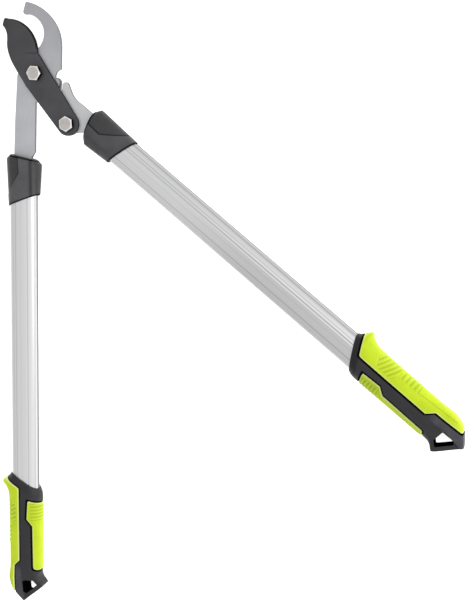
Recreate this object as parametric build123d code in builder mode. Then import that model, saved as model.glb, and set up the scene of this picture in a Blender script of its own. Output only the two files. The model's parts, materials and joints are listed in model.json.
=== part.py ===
"""Compound-action bypass lopper with a curved hook, built from its separate pieces.

The tool lies flat and open. The drawing plane is the middle of the two arm plates, with the axis of the
left handle on the line x = 0 of the drawing and the head pointing along +Y. Each handle has its own
plane, whose first coordinate runs down the handle and whose second one points away from the other handle.
"""
from build123d import *
from math import cos, pi, radians, sin
import os

# ---- where the drawing sits in the part's frame (origin: middle of the underside) -------------------
drawing_x = -267.92
drawing_y = 261.8
drawing_z = 15.835

# ---- handles ----------------------------------------------------------------------------------------
opening_angle = 52.92           # degrees between the two handles at rest
right_origin_x = 46.19          # the right handle's axis passes through this point
right_origin_y = 18.75
tube_half_width = 19.2          # in the plane of the tool
tube_half_depth = 10.05
tube_wall = 1.5
tube_start = 70.0               # distances down a handle
tube_end = 600.0
fit_gap = 0.05                  # glued and pressed fits
rivet_radius = 2.5
rivet_half_length = 9.9         # their ends lie just under the tube's surface
rivet_stations = (84.0, 100.0)
tang_half_width = 12.0
collar_slot_play = 0.4
tang_end = 125.0
insert_start = 71.0
insert_end = 132.0

# ---- plates -----------------------------------------------------------------------------------------
plate_thickness = 4.0
plate_half = plate_thickness / 2
blade_thickness = 3.4
slide_gap = 0.1                 # between plates that slide on each other
blade_bottom = plate_half + slide_gap
blade_top = blade_bottom + blade_thickness

# ---- pivots (drawing coordinates) -------------------------------------------------------------------
head_pivot = (20.49, 43.99)     # blade on the hook plate
tail_pivot = (64.61, -17.58)    # right arm on the tail of the blade
link_pivot = (46.0, 32.8)       # power link on the ear of the hook plate
arm_pin = (40.45, -2.4)         # power link on the right arm
link_hole_shift = (-0.42, 0.21) # the link's open end, beside the pin at rest
running_gap = 0.05
open_pivot_gap = 0.95           # clearance of the pivot that closes the linkage

# ---- fasteners --------------------------------------------------------------------------------------
bolt_radius = 5.0
hex_flats = 17.0
hex_height = 6.4
hex_chamfer = 1.0
hex_chamfer_run = 1.2           # how far the turned corner reaches in over the flats
head_bolt_turn = -3.0           # degrees the hexagons happen to stand at
tail_bolt_turn = 34.0
bolt_end_chamfer = 0.8
nut_collar_height = 2.4
nut_collar_step = 1.0
nut_collar_taper = 14           # degrees
washer_radius = 10.5
washer_thickness = 1.6
thread_stick_out = 1.2
pin_radius = 3.0
pin_head_radius = 5.0
pin_head_height = 2.0
pin_head_crown = 3.5            # radius of the flat on top of the head
countersink_radius = 4.4
countersink_depth = 1.4
link_thickness = 3.0
link_eye_radius = 6.5
ear_radius = 5.6

# ---- collars and grips (handle coordinates) ---------------------------------------------------------
collar_half_depth_top = 13.4
collar_half_depth_bottom = 12.2
grip_half_depth = 15.4
grip_end_half_depth = 12.4
pad_thickness = 2.4

os.makedirs("parts", exist_ok=True)


def level(z):
    """The drawing plane, lifted to height z above the middle of the plates."""
    return Plane(origin=(drawing_x, drawing_y, drawing_z + z))


def handle_plane(side):
    """Plane whose x runs down the handle and whose y points outwards."""
    if side == "left":
        return Plane(origin=(drawing_x, drawing_y, drawing_z), x_dir=(0, -1, 0), z_dir=(0, 0, -1))
    turn = radians(opening_angle)
    start = (drawing_x + right_origin_x, drawing_y + right_origin_y, drawing_z)
    return Plane(origin=start, x_dir=(sin(turn), -cos(turn), 0), z_dir=(0, 0, 1))


def station(side, distance):
    """Cross-section plane of a handle: x points outwards."""
    plane = handle_plane(side)
    start = plane.from_local_coords((distance, 0, 0))
    return Plane(origin=start, x_dir=plane.y_dir, z_dir=plane.x_dir)


def right_handle_point(distance, outward):
    """A point of the right handle, in drawing coordinates."""
    turn = radians(opening_angle)
    x = right_origin_x + distance * sin(turn) + outward * cos(turn)
    y = right_origin_y - distance * cos(turn) + outward * sin(turn)
    return (x, y)


def around(centre, radius, angle):
    """The point on a circle at an angle in degrees."""
    turn = radians(angle)
    return (centre[0] + radius * cos(turn), centre[1] + radius * sin(turn))


def save(part, name):
    part.label = name
    export_step(part, f"parts/{name}.step")


# ---- hook plate: hook, left arm and tang in one stamping ---------------------------------------------
hook_heel = (23.6, 76.1)
notch_top = (53.6, 49.2)
notch_bottom = (46.0, 41.0)
ear_top = around(link_pivot, ear_radius, 92)
ear_bottom = around(link_pivot, ear_radius, -128)

with BuildPart() as hook_plate:
    with BuildSketch(level(-plate_half)):
        with BuildLine():
            Line((3.4, 124.6), (5.0, 129.6))
            ThreePointArc((5.0, 129.6), (6.0, 131.1), (8.0, 131.2))
            ThreePointArc((8.0, 131.2), (33.6, 118.6), (50.6, 96.3))
            ThreePointArc((50.6, 96.3), (53.4, 86.0), (54.2, 76.0))
            Line((54.2, 76.0), notch_top)
            ThreePointArc(notch_top, (48.4, 46.2), notch_bottom)
            Line(notch_bottom, ear_top)
            ThreePointArc(ear_top, around(link_pivot, ear_radius, -18), ear_bottom)
            Line(ear_bottom, (18.4, 8.0))
            Line((18.4, 8.0), (17.3, -52.9))
            Line((17.3, -52.9), (tang_half_width, -61.0))
            Line((tang_half_width, -61.0), (tang_half_width, -tang_end))
            Line((tang_half_width, -tang_end), (-tang_half_width, -tang_end))
            Line((-tang_half_width, -tang_end), (-tang_half_width, -56.0))
            Line((-tang_half_width, -56.0), (-10.6, -15.0))
            Line((-10.6, -15.0), (-7.0, 41.0))
            ThreePointArc((-7.0, 41.0), (0.5, 56.5), (12.0, 68.0))
            Line((12.0, 68.0), hook_heel)
            ThreePointArc(hook_heel, (29.8, 86.5), (29.6, 99.6))
            ThreePointArc((29.6, 99.6), (20.8, 111.2), (7.4, 116.1))
            ThreePointArc((7.4, 116.1), (3.0, 117.0), (2.1, 120.0))
            Line((2.1, 120.0), (3.4, 124.6))
        make_face()
        with Locations(head_pivot):
            Circle(bolt_radius + fit_gap, mode=Mode.SUBTRACT)
        with Locations(link_pivot):
            Circle(pin_radius + fit_gap, mode=Mode.SUBTRACT)
        with Locations([(0, -distance) for distance in rivet_stations]):
            Circle(rivet_radius + fit_gap, mode=Mode.SUBTRACT)
    extrude(amount=plate_thickness)
    with Locations(level(plate_half)):
        with Locations(link_pivot):
            CounterSinkHole(pin_radius + fit_gap, countersink_radius + fit_gap, plate_thickness)
save(hook_plate.part, "hook_plate")

# ---- cutting blade -----------------------------------------------------------------------------------
tail_radius = 14.5
tail_left_angle = 219.3
tail_right_angle = 34.5
blade_shoulder = (22.8, 69.0)
blade_back = (
    (6.5, 29.0), (-4.0, 44.7), (-15.6, 64.4), (-19.1, 80.0), (-18.9, 89.5), (-20.8, 97.0), (-25.2, 102.6),
)
edge_centre = (-19.5, 68.5)
edge_radius = 42.8
edge_start = around(edge_centre, edge_radius, 88)
edge_end = around(edge_centre, edge_radius, 8)
bevel_width = 1.7
bevel_land = 0.5                # thickness left at the sharpened edge
bevel_run_out = 0.6
bevel_start_angle = 7           # degrees round the edge's centre
bevel_sweep = 84

with BuildPart() as cutting_blade:
    with BuildSketch(level(blade_bottom)):
        with BuildLine():
            ThreePointArc(edge_start, around(edge_centre, edge_radius, 48), edge_end)
            Line(edge_end, blade_shoulder)
            Line(blade_shoulder, (24.6, 66.9))
            Line((24.6, 66.9), around(tail_pivot, tail_radius, tail_right_angle))
            ThreePointArc(
                around(tail_pivot, tail_radius, tail_right_angle),
                around(tail_pivot, tail_radius, -52),
                around(tail_pivot, tail_radius, tail_left_angle),
            )
            Line(around(tail_pivot, tail_radius, tail_left_angle), blade_back[0])
            Spline(*blade_back)
            Line(blade_back[-1], (-23.4, 109.8))
            ThreePointArc((-23.4, 109.8), (-22.0, 111.3), edge_start)
        make_face()
        with Locations(head_pivot, tail_pivot):
            Circle(bolt_radius + running_gap, mode=Mode.SUBTRACT)
    extrude(amount=blade_thickness)
    arc_axis = Axis(level(0).from_local_coords((*edge_centre, 0)), (0, 0, 1))
    first_ray = (cos(radians(bevel_start_angle)), sin(radians(bevel_start_angle)), 0)
    ray_plane = Plane(origin=arc_axis.position, x_dir=first_ray, z_dir=(first_ray[1], -first_ray[0], 0))
    bevel_slope = (blade_thickness - bevel_land) / bevel_width
    with BuildSketch(ray_plane):
        Polygon(
            (edge_radius - bevel_width, blade_top),
            (edge_radius + bevel_run_out, blade_top),
            (edge_radius + bevel_run_out, blade_top - bevel_slope * (bevel_width + bevel_run_out)),
            align=None,
        )
    revolve(axis=arc_axis, revolution_arc=bevel_sweep, mode=Mode.SUBTRACT)
save(cutting_blade.part, "cutting_blade")

# ---- right arm: finger, eye and tang in one stamping --------------------------------------------------
eye_radius = 14.0
lobe_radius = 6.2
arm_tang_corner = right_handle_point(tang_end, -tang_half_width)

with BuildPart() as right_arm:
    with BuildSketch(level(-plate_half)):
        with BuildLine():
            Line((53.0, 17.5), (56.1, 29.0))
            ThreePointArc((56.1, 29.0), (59.8, 33.9), (64.4, 30.4))
            Line((64.4, 30.4), (67.0, 24.4))
            ThreePointArc((67.0, 24.4), (72.6, 14.4), (80.8, 7.7))
            Line((80.8, 7.7), right_handle_point(54.0, tang_half_width))
            Line(right_handle_point(54.0, tang_half_width), right_handle_point(tang_end, tang_half_width))
            Line(right_handle_point(tang_end, tang_half_width), arm_tang_corner)
            Line(arm_tang_corner, right_handle_point(63.0, -tang_half_width))
            Line(right_handle_point(63.0, -tang_half_width), (85.0, -27.6))
            Line((85.0, -27.6), around(tail_pivot, eye_radius, -52))
            ThreePointArc(
                around(tail_pivot, eye_radius, -52),
                around(tail_pivot, eye_radius, -130),
                around(tail_pivot, eye_radius, 190),
            )
            Line(around(tail_pivot, eye_radius, 190), around(arm_pin, lobe_radius, 230))
            ThreePointArc(
                around(arm_pin, lobe_radius, 230),
                around(arm_pin, lobe_radius, 170),
                around(arm_pin, lobe_radius, 110),
            )
            Line(around(arm_pin, lobe_radius, 110), (53.0, 17.5))
        make_face()
        with Locations(tail_pivot):
            Circle(bolt_radius + running_gap, mode=Mode.SUBTRACT)
        with Locations(arm_pin):
            Circle(pin_radius + fit_gap, mode=Mode.SUBTRACT)
        with Locations([right_handle_point(distance, 0) for distance in rivet_stations]):
            Circle(rivet_radius + fit_gap, mode=Mode.SUBTRACT)
    extrude(amount=plate_thickness)
    with Locations(level(plate_half)):
        with Locations(arm_pin):
            CounterSinkHole(pin_radius + fit_gap, countersink_radius + fit_gap, plate_thickness)
save(right_arm.part, "right_arm")


# ---- power link between the ear and the right arm -----------------------------------------------------
link_hole = (arm_pin[0] + link_hole_shift[0], arm_pin[1] + link_hole_shift[1])
link_bottom = -plate_half - slide_gap - link_thickness

with BuildPart() as power_link:
    with BuildSketch(level(link_bottom)) as link_outline:
        with Locations(link_pivot, link_hole):
            Circle(link_eye_radius)
        make_hull()
        with Locations(link_pivot):
            Circle(pin_radius + running_gap, mode=Mode.SUBTRACT)
        with Locations(link_hole):
            Circle(pin_radius + open_pivot_gap, mode=Mode.SUBTRACT)
    extrude(amount=link_thickness)
save(power_link.part, "power_link")


# ---- link pins: countersunk above, a low round head below --------------------------------------------
def link_pin(centre):
    head_top = link_bottom - slide_gap
    axis_start = level(0).from_local_coords((*centre, 0))
    with BuildPart() as pin:
        with BuildSketch(Plane(origin=axis_start, x_dir=(1, 0, 0), z_dir=(0, -1, 0))):
            Polygon(
                (0, plate_half),
                (countersink_radius, plate_half),
                (pin_radius, plate_half - countersink_depth),
                (pin_radius, head_top),
                (pin_head_radius, head_top),
                (pin_head_radius, head_top - pin_head_height / 2),
                (pin_head_crown, head_top - pin_head_height),
                (0, head_top - pin_head_height),
                align=None,
            )
        revolve(axis=Axis(axis_start, (0, 0, 1)))
    return pin.part


save(link_pin(link_pivot), "ear_pin")
save(link_pin(arm_pin), "arm_pin")


# ---- pivot bolts, washers and lock nuts ----------------------------------------------------------------
def hex_crown(plane, height, turn):
    """Hexagon bar whose top corners are turned off."""
    with BuildPart() as crown:
        with BuildSketch(plane):
            RegularPolygon(hex_flats / 2, 6, major_radius=False, rotation=turn)
        extrude(amount=height)
        corner_radius = hex_flats / 2 / cos(pi / 6)
        with BuildSketch(Plane(origin=plane.origin, x_dir=(1, 0, 0), z_dir=(0, -plane.z_dir.Z, 0))):
            Polygon(
                (0, 0),
                (corner_radius, 0),
                (corner_radius, height - hex_chamfer),
                (hex_flats / 2 - hex_chamfer_run, height),
                (0, height),
                align=None,
            )
        revolve(axis=Axis(plane.origin, (0, 0, 1)), mode=Mode.INTERSECT)
    return crown.part


head_bottom = blade_top + slide_gap
washer_top = -plate_half - slide_gap
nut_top = washer_top - washer_thickness
nut_bottom = nut_top - hex_height
bolt_bottom = nut_bottom - nut_collar_height - thread_stick_out

for name, centre, turn in (("head", head_pivot, head_bolt_turn), ("tail", tail_pivot, tail_bolt_turn)):
    at_centre = level(0).from_local_coords((*centre, 0))
    head_plane = Plane(origin=(at_centre.X, at_centre.Y, drawing_z + head_bottom))
    shank_plane = Plane(origin=(at_centre.X, at_centre.Y, drawing_z + bolt_bottom))
    with BuildPart() as bolt:
        add(hex_crown(head_plane, hex_height, turn))
        with BuildSketch(shank_plane):
            Circle(bolt_radius)
        extrude(amount=head_bottom - bolt_bottom)
        chamfer(bolt.edges().sort_by(Axis.Z)[0], length=bolt_end_chamfer)
    save(bolt.part, f"{name}_bolt")

    with BuildPart() as washer:
        with BuildSketch(Plane(origin=(at_centre.X, at_centre.Y, drawing_z + nut_top))):
            Circle(washer_radius)
            Circle(bolt_radius + fit_gap, mode=Mode.SUBTRACT)
        extrude(amount=washer_thickness)
    save(washer.part, f"{name}_washer")

    nut_plane = Plane(origin=(at_centre.X, at_centre.Y, drawing_z + nut_top), z_dir=(0, 0, -1))
    with BuildPart() as nut:
        add(hex_crown(nut_plane, hex_height, turn))
        with BuildSketch(nut_plane.offset(hex_height)):
            Circle(hex_flats / 2 - nut_collar_step)
        extrude(amount=nut_collar_height, taper=nut_collar_taper)
        with BuildSketch(nut_plane):
            Circle(bolt_radius + fit_gap)
        extrude(amount=hex_height + nut_collar_height, mode=Mode.SUBTRACT)
    save(nut.part, f"{name}_lock_nut")


# ---- handles: tube, insert, rivets, collar and grip on each side ----------------------------------------
tube_inner_width = tube_half_width - tube_wall
tube_inner_depth = tube_half_depth - tube_wall
tang_slot = tang_half_width + fit_gap
collar_slot = tang_half_width + collar_slot_play
grip_pocket_start = 400.0
block_half_depth = 30.0


def oval_bar(side, start, end, half_width, half_depth):
    """Bar of oval section along a handle."""
    with BuildPart() as bar:
        with BuildSketch(station(side, start)):
            Ellipse(half_width, half_depth)
        extrude(amount=end - start)
    return bar.part


def lofted_body(side, sections, inset=0.0):
    """Body through oval sections, each given by distance, centre, half width and half depth."""
    with BuildPart() as body:
        for distance, centre, half_width, half_depth in sections:
            with BuildSketch(station(side, distance)):
                with Locations((centre, 0)):
                    Ellipse(half_width - inset, half_depth - inset)
        loft()
    return body.part


def slab(side, outline, half_depth=block_half_depth):
    """Flat block with an outline in the plane of the tool."""
    with BuildPart() as block:
        with BuildSketch(handle_plane(side).offset(-half_depth)):
            with BuildLine():
                Polyline(*outline, close=True)
            make_face()
        extrude(amount=2 * half_depth)
    return block.part


def box_outline(start, end, half_width):
    """Outline of a straight stretch of a handle."""
    return ((start, half_width), (end, half_width), (end, -half_width), (start, -half_width))


def rivet_bars(side, radius, half_depth):
    """One short bar across the handle at each rivet."""
    with BuildPart() as bars:
        with BuildSketch(handle_plane(side).offset(-half_depth)):
            with Locations([(distance, 0) for distance in rivet_stations]):
                Circle(radius)
        extrude(amount=2 * half_depth)
    return bars.part


collar_sections = (
    (50.0, -1.1, 24.2, collar_half_depth_top),
    (90.0, -1.0, 23.4, 12.9),
    (132.0, -0.7, 21.2, collar_half_depth_bottom),
)
collar_outline = (
    (56.5, 16.5), (61.0, 22.4), (64.0, 24.0), (124.1, 24.0), (105.6, -26.0), (69.0, -26.0), (63.8, -19.8),
)
grip_sections = (
    (468.0, 2.0, 23.0, 12.6),
    (490.5, 3.6, 29.0, 14.6),
    (508.0, -0.4, 23.8, grip_half_depth),
    (560.0, -0.9, 23.4, grip_half_depth),
    (606.0, -1.2, 23.6, grip_half_depth),
    (628.0, -5.6, 26.6, 13.2),
    (662.0, -12.0, 27.0, grip_end_half_depth),
)
grip_outline = (
    (476.2, 20.6), (489.9, 33.0), (600.0, 33.0), (630.0, 21.0), (640.4, 15.7), (647.0, 9.5),
    (655.0, 0.0), (628.4, -31.5), (622.4, -25.2), (617.0, -23.3), (611.0, -24.2),
    (604.0, -26.0), (503.0, -26.0), (497.4, -21.8),
)
hang_hole_outline = ((624.8, -1.0), (623.0, -15.5), (629.3, -21.6), (643.8, -4.6), (640.0, -1.0))
outer_pad_outline = (
    (484.6, 26.2), (495.4, 3.2), (595.7, 2.6), (604.2, 11.2), (646.5, 9.7), (660.0, 40.0), (470.0, 40.0),
)
inner_pad_outline = (
    (511.6, -9.6), (536.8, -8.2), (546.4, -15.6), (605.4, -16.4),
    (610.5, -24.0), (608.0, -40.0), (513.4, -40.0),
)

for side in ("left", "right"):
    rivet_holes = rivet_bars(side, rivet_radius + fit_gap, block_half_depth)
    tube_bore = oval_bar(side, tube_start, tube_end, tube_inner_width, tube_inner_depth)
    tube = oval_bar(side, tube_start, tube_end, tube_half_width, tube_half_depth) - tube_bore - rivet_holes
    save(tube, f"{side}_tube")

    insert = oval_bar(side, insert_start, insert_end, tube_inner_width - fit_gap, tube_inner_depth - fit_gap)
    insert -= slab(side, box_outline(0, tang_end + fit_gap, tang_slot), plate_half + fit_gap)
    save(insert - rivet_holes, f"{side}_tube_insert")

    save(rivet_bars(side, rivet_radius, rivet_half_length), f"{side}_rivets")

    collar = lofted_body(side, collar_sections) & slab(side, collar_outline)
    collar -= oval_bar(side, tube_start, insert_end, tube_half_width + fit_gap, tube_half_depth + fit_gap)
    collar -= slab(side, box_outline(0, tube_start, collar_slot), plate_half + fit_gap)
    save(collar, f"{side}_collar")

    envelope = lofted_body(side, grip_sections) & slab(side, grip_outline)
    padded_core = lofted_body(side, grip_sections, pad_thickness)
    outer_pad = (envelope & slab(side, outer_pad_outline)) - padded_core
    inner_pad = (envelope & slab(side, inner_pad_outline)) - padded_core
    tube_pocket = oval_bar(
        side, grip_pocket_start, tube_end + fit_gap, tube_half_width + fit_gap, tube_half_depth + fit_gap
    )
    grip_core = envelope - outer_pad - inner_pad - slab(side, hang_hole_outline) - tube_pocket
    outer_pad -= tube_pocket
    save(grip_core, f"{side}_grip_core")
    save(outer_pad, f"{side}_outer_pad")
    save(inner_pad, f"{side}_inner_pad")
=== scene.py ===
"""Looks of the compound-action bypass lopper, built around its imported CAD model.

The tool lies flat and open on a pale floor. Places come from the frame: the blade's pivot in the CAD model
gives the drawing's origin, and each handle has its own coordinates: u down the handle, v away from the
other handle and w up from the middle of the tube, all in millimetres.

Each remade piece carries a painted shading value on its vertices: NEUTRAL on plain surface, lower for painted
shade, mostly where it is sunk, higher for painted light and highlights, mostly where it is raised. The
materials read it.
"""
import json
import math

import bmesh
import bpy
import numpy as np
from mathutils import Matrix, Vector


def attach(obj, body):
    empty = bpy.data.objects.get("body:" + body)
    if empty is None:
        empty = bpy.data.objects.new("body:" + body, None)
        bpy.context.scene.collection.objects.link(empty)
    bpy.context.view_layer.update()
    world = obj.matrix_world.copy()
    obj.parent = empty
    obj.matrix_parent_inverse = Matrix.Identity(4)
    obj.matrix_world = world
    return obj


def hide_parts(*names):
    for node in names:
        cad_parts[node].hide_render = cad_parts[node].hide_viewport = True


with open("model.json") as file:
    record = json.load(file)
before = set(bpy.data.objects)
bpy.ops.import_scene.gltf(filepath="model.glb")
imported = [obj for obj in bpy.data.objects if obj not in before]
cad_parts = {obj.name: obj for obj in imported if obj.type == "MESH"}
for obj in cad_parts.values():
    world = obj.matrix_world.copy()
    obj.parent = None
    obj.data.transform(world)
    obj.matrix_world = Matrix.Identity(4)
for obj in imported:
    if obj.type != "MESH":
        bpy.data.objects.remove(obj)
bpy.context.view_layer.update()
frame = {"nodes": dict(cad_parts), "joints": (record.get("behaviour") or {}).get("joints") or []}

MM = 0.001
NEUTRAL = 0.5                       # painted shading of plain surface: neither light nor shade

# ---- places taken from the frame ---------------------------------------------------------------------
joints = {joint["name"]: joint for joint in frame["joints"]}
head_pivot = Vector(joints["blade_pivot"]["pos_m"])
HEAD_IN_DRAWING = Vector((20.49, 43.99, 0.0))
drawing_origin = head_pivot - HEAD_IN_DRAWING * MM
OPENING_ANGLE = math.radians(52.92)
RIGHT_AXIS_START = Vector((46.19, 18.75, 0.0))

SIDES = ("left", "right")
BODY = {"left": "left_handle", "right": "right_handle"}
ALONG = {
    "left": np.array((0.0, -1.0, 0.0)),
    "right": np.array((math.sin(OPENING_ANGLE), -math.cos(OPENING_ANGLE), 0.0)),
}
OUTWARD = {
    "left": np.array((-1.0, 0.0, 0.0)),
    "right": np.array((math.cos(OPENING_ANGLE), math.sin(OPENING_ANGLE), 0.0)),
}
START = {
    "left": np.array(drawing_origin),
    "right": np.array(drawing_origin + RIGHT_AXIS_START * MM),
}
TURN = {"left": 0.0, "right": OPENING_ANGLE}
UP = np.array((0.0, 0.0, 1.0))


def handle_points(side, u, v, w):
    """Handle coordinates in millimetres to world points in metres."""
    u, v, w = np.broadcast_arrays(u, v, w)
    shift = u[..., None] * ALONG[side] + v[..., None] * OUTWARD[side] + w[..., None] * UP
    return START[side] + shift * MM


# ---- small mesh helpers ------------------------------------------------------------------------------
def new_object(name, vertices, faces):
    mesh = bpy.data.meshes.new(name)
    mesh.from_pydata([tuple(p) for p in vertices], [], faces)
    work = bmesh.new()
    work.from_mesh(mesh)
    bmesh.ops.recalc_face_normals(work, faces=work.faces)
    work.to_mesh(mesh)
    work.free()
    for polygon in mesh.polygons:
        polygon.use_smooth = True
    thing = bpy.data.objects.new(name, mesh)
    bpy.context.scene.collection.objects.link(thing)
    return thing


def grid_faces(rows, columns, first=0, wrap_rows=False, wrap_columns=False):
    """Quads between the rows of a grid of vertices."""
    faces = []
    for i in range(rows if wrap_rows else rows - 1):
        for j in range(columns if wrap_columns else columns - 1):
            a = first + i * columns + j
            b = first + i * columns + (j + 1) % columns
            c = first + ((i + 1) % rows) * columns + (j + 1) % columns
            d = first + ((i + 1) % rows) * columns + j
            faces.append((a, b, c, d))
    return faces


def set_painted_shading(thing, values):
    """Keeps each vertex's painted shading, from 0 to 1, for the shaders: low for painted shade, high for
    painted light.
    """
    painted_shading = thing.data.attributes.new("painted_shading", "FLOAT", "POINT")
    painted_shading.data.foreach_set("value", np.clip(values, 0, 1).astype(np.float32))


def ring_solid(name, rings, looped=False):
    """Closed skin through rings of equal length: looped like a tyre, or capped at both ends."""
    count = len(rings[0])
    vertices = np.concatenate(rings)
    faces = grid_faces(len(rings), count, wrap_rows=looped, wrap_columns=True)
    if not looped:
        faces.append(tuple(range(count)))
        last = (len(rings) - 1) * count
        faces.append(tuple(range(last, last + count)))
    return new_object(name, vertices, faces)


def monotone_curve(knots, values):
    """Smooth curve through the knots that doesn't overshoot them."""
    x = np.array(knots, float)
    y = np.array(values, float)
    step = np.diff(x)
    slope = np.diff(y) / step
    tangent = np.zeros(len(x))
    tangent[0] = slope[0]
    tangent[-1] = slope[-1]
    for i in range(1, len(x) - 1):
        if slope[i - 1] * slope[i] > 0:
            tangent[i] = 2 * slope[i - 1] * slope[i] / (slope[i - 1] + slope[i])

    def value(at):
        at = np.clip(np.asarray(at, float), x[0], x[-1])
        i = np.clip(np.searchsorted(x, at, side="right") - 1, 0, len(x) - 2)
        t = (at - x[i]) / step[i]
        return (
            y[i] * (1 + 2 * t) * (1 - t) ** 2
            + y[i + 1] * t * t * (3 - 2 * t)
            + tangent[i] * step[i] * t * (1 - t) ** 2
            - tangent[i + 1] * step[i] * t * t * (1 - t)
        )

    return value


def smooth_step(low, high, x):
    """0 up to low and 1 from high on, with an eased stretch between; low may be the larger one."""
    t = np.clip((np.asarray(x, float) - low) / (high - low), 0, 1)
    return t * t * (3 - 2 * t)


def power(x, exponent):
    """Power of a signed number; flattens or squares an oval's sine and cosine."""
    return np.sign(x) * np.abs(x) ** exponent


def apply_modifiers(thing):
    """Bakes a piece's modifiers into its mesh."""
    graph = bpy.context.evaluated_depsgraph_get()
    mesh = bpy.data.meshes.new_from_object(thing.evaluated_get(graph))
    thing.modifiers.clear()
    thing.data = mesh


# ---- shader helpers ----------------------------------------------------------------------------------
def material(name):
    """A new material with its nodes, its links and its main shader."""
    made = bpy.data.materials.new(name)
    made.use_nodes = True
    nodes = made.node_tree.nodes
    return made, nodes, made.node_tree.links, nodes["Principled BSDF"]


def object_coordinates(nodes, links, scale=(1, 1, 1), turn=0.0):
    """Object coordinates, turned about the upright axis and scaled."""
    where = nodes.new("ShaderNodeTexCoord")
    mapping = nodes.new("ShaderNodeMapping")
    mapping.vector_type = "POINT"
    turned = nodes.new("ShaderNodeVectorRotate")
    turned.rotation_type = "Z_AXIS"
    turned.inputs["Angle"].default_value = -turn
    links.new(where.outputs["Object"], turned.inputs["Vector"])
    links.new(turned.outputs["Vector"], mapping.inputs["Vector"])
    mapping.inputs["Scale"].default_value = scale
    return mapping.outputs["Vector"]


def noise(nodes, links, vector, scale, detail=4.0, roughness=0.55):
    made = nodes.new("ShaderNodeTexNoise")
    made.inputs["Scale"].default_value = scale
    made.inputs["Detail"].default_value = detail
    made.inputs["Roughness"].default_value = roughness
    links.new(vector, made.inputs["Vector"])
    return made.outputs["Fac"]


def ramp(nodes, links, value, stops):
    made = nodes.new("ShaderNodeValToRGB")
    elements = made.color_ramp.elements
    while len(elements) < len(stops):
        elements.new(0.5)
    for element, (place, colour) in zip(elements, stops):
        element.position = place
        element.color = (*colour, 1.0)
    links.new(value, made.inputs["Fac"])
    return made.outputs["Color"]


def spread(nodes, links, value, low, high):
    """A value from 0 to 1, brought to the stretch between two levels."""
    made = nodes.new("ShaderNodeMapRange")
    made.inputs["To Min"].default_value = low
    made.inputs["To Max"].default_value = high
    links.new(value, made.inputs["Value"])
    return made.outputs["Result"]


def bump(nodes, links, shader, height, distance, strength):
    made = nodes.new("ShaderNodeBump")
    made.inputs["Strength"].default_value = strength
    made.inputs["Distance"].default_value = distance
    links.new(height, made.inputs["Height"])
    links.new(made.outputs["Normal"], shader.inputs["Normal"])


def grey(level):
    return (level, level, level)


def mixed(nodes, links, colour, other, factor, blend="MIX"):
    """A socket's colour blended with a fixed one by a factor socket."""
    made = nodes.new("ShaderNodeMix")
    made.data_type = "RGBA"
    made.blend_type = blend
    links.new(factor, made.inputs["Factor"])
    links.new(colour, made.inputs["A"])
    made.inputs["B"].default_value = (*other, 1.0)
    return made.outputs["Result"]


def steepness(nodes, links, low, high):
    """0 on faces that look up or down, 1 on the walls between them."""
    where = nodes.new("ShaderNodeNewGeometry")
    parts = nodes.new("ShaderNodeSeparateXYZ")
    links.new(where.outputs["Normal"], parts.inputs["Vector"])
    size = nodes.new("ShaderNodeMath")
    size.operation = "ABSOLUTE"
    links.new(parts.outputs["Z"], size.inputs[0])
    made = nodes.new("ShaderNodeMapRange")
    made.interpolation_type = "SMOOTHSTEP"
    links.new(size.outputs["Value"], made.inputs["Value"])
    made.inputs["From Min"].default_value = high
    made.inputs["From Max"].default_value = low
    return made.outputs["Result"]


def painted_shading_value(nodes, links, low, high):
    """The mesh's painted shading value, spread between two levels."""
    read = nodes.new("ShaderNodeAttribute")
    read.attribute_name = "painted_shading"
    made = nodes.new("ShaderNodeMapRange")
    links.new(read.outputs["Fac"], made.inputs["Value"])
    made.inputs["From Min"].default_value = low
    made.inputs["From Max"].default_value = high
    return made.outputs["Result"]


def drawing_place(nodes, links, axis, low, high):
    """Where a point lies between two places along an axis of the drawing, from 0 to 1."""
    where = nodes.new("ShaderNodeTexCoord")
    parts = nodes.new("ShaderNodeSeparateXYZ")
    links.new(where.outputs["Object"], parts.inputs["Vector"])
    made = nodes.new("ShaderNodeMapRange")
    made.interpolation_type = "SMOOTHSTEP"
    links.new(parts.outputs[axis], made.inputs["Value"])
    start = getattr(drawing_origin, axis.lower())
    made.inputs["From Min"].default_value = start + low * MM
    made.inputs["From Max"].default_value = start + high * MM
    return made.outputs["Result"]


# ---- materials ---------------------------------------------------------------------------------------
STEEL_WALL_PAINTED_SHADE = grey(0.14)
BLADE_STEP_PAINTED_SHADE = grey(0.016)
BLADE_RIM_PAINTED_SHADE = grey(0.009)
BLADE_PAINTED_SHEEN = (1.3, 1.3, 1.34)
BOLT_CORNER_PAINTED_HIGHLIGHT = (1.0, 0.99, 0.97)
BOLT_SIDE_PAINTED_SHADE = grey(0.04)
TUBE_SIDE_PAINTED_SHADE = grey(0.16)
TUBE_PAINTED_SHADE_GREY = grey(0.5)
TUBE_PAINTED_REFLECTION = grey(1.0)
PLASTIC_PAINTED_LIGHT = grey(3.2)            # multiplies the colour
PLASTIC_PAINTED_SHADE = grey(0.003)
GREEN_PAINTED_HIGHLIGHT = (0.92, 1.0, 0.36)
GREEN_PAINTED_SHADE = (0.26, 0.36, 0.008)
# Places in the drawing where a painted shade or painted sheen is nil and where it is full.
PLATE_PAINTED_SHADE_Y = (-10, 130)
BLADE_STEP_LOWER_Y = (67.6, 68.2)
BLADE_STEP_UPPER_Y = (69.6, 68.6)
BLADE_STEP_X = (0.0, 14.0)
BLADE_PAINTED_SHEEN_Y = (100, 64)


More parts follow.
